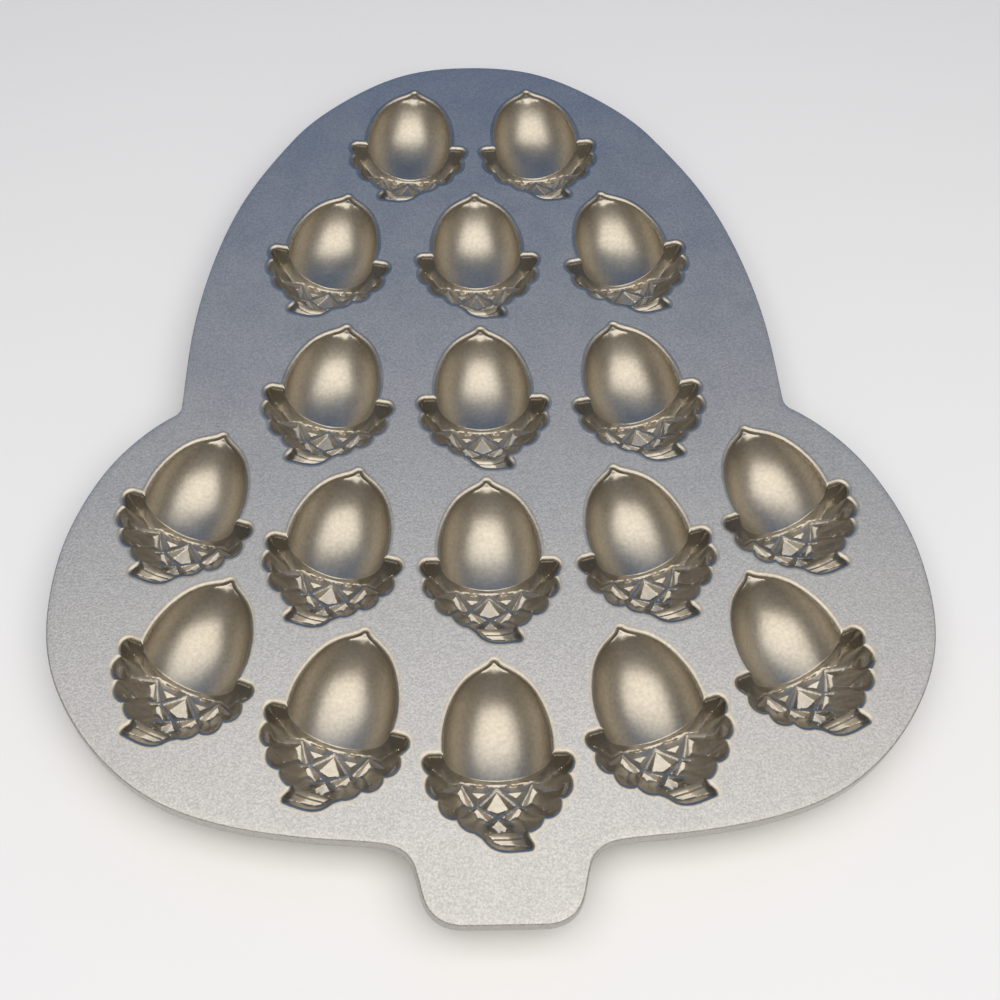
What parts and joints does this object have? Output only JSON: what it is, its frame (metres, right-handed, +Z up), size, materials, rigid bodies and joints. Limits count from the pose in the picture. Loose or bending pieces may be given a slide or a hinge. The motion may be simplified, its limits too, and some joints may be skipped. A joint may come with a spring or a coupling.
{
  "type": "cakelet pan",
  "caption": "Cast aluminium cakelet pan: a thin deck with the outline of an acorn, acorn-shaped cups with diamond-scaled caps, and a small handle tab.",
  "frame": {"origin": "under the middle of the pan's bounding box, on the surface that the cups' feet stand on", "axes": "+Y from the handle tab to the top of the dome, along the pan's longest side; +Z up out of the cups, across its thickness; +X to the right"},
  "size_m": [0.3388, 0.405, 0.0205],
  "materials": {
    "deck": "satin",
    "cup": "satin",
    "rim": "satin"
  },
  "bodies": {
    "root": {"cup_row2_centre": "cup", "cup_row3_centre": "cup", "cup_row4_centre": "cup", "cup_row5_centre": "cup", "cup_row1_right": "cup", "cup_row1_left": "cup", "cup_row2_right": "cup", "cup_row2_left": "cup", "cup_row3_right": "cup", "cup_row3_left": "cup", "cup_row4_inner_right": "cup", "cup_row4_inner_left": "cup", "cup_row4_outer_right": "cup", "cup_row4_outer_left": "cup", "cup_row5_inner_right": "cup", "cup_row5_inner_left": "cup", "cup_row5_outer_right": "cup", "cup_row5_outer_left": "cup", "deck_plate": "deck", "handle_tab": "deck", "rim_dome": "rim", "rim_lobe_left": "rim", "rim_lobe_right": "rim"}
  },
  "joints": []
}
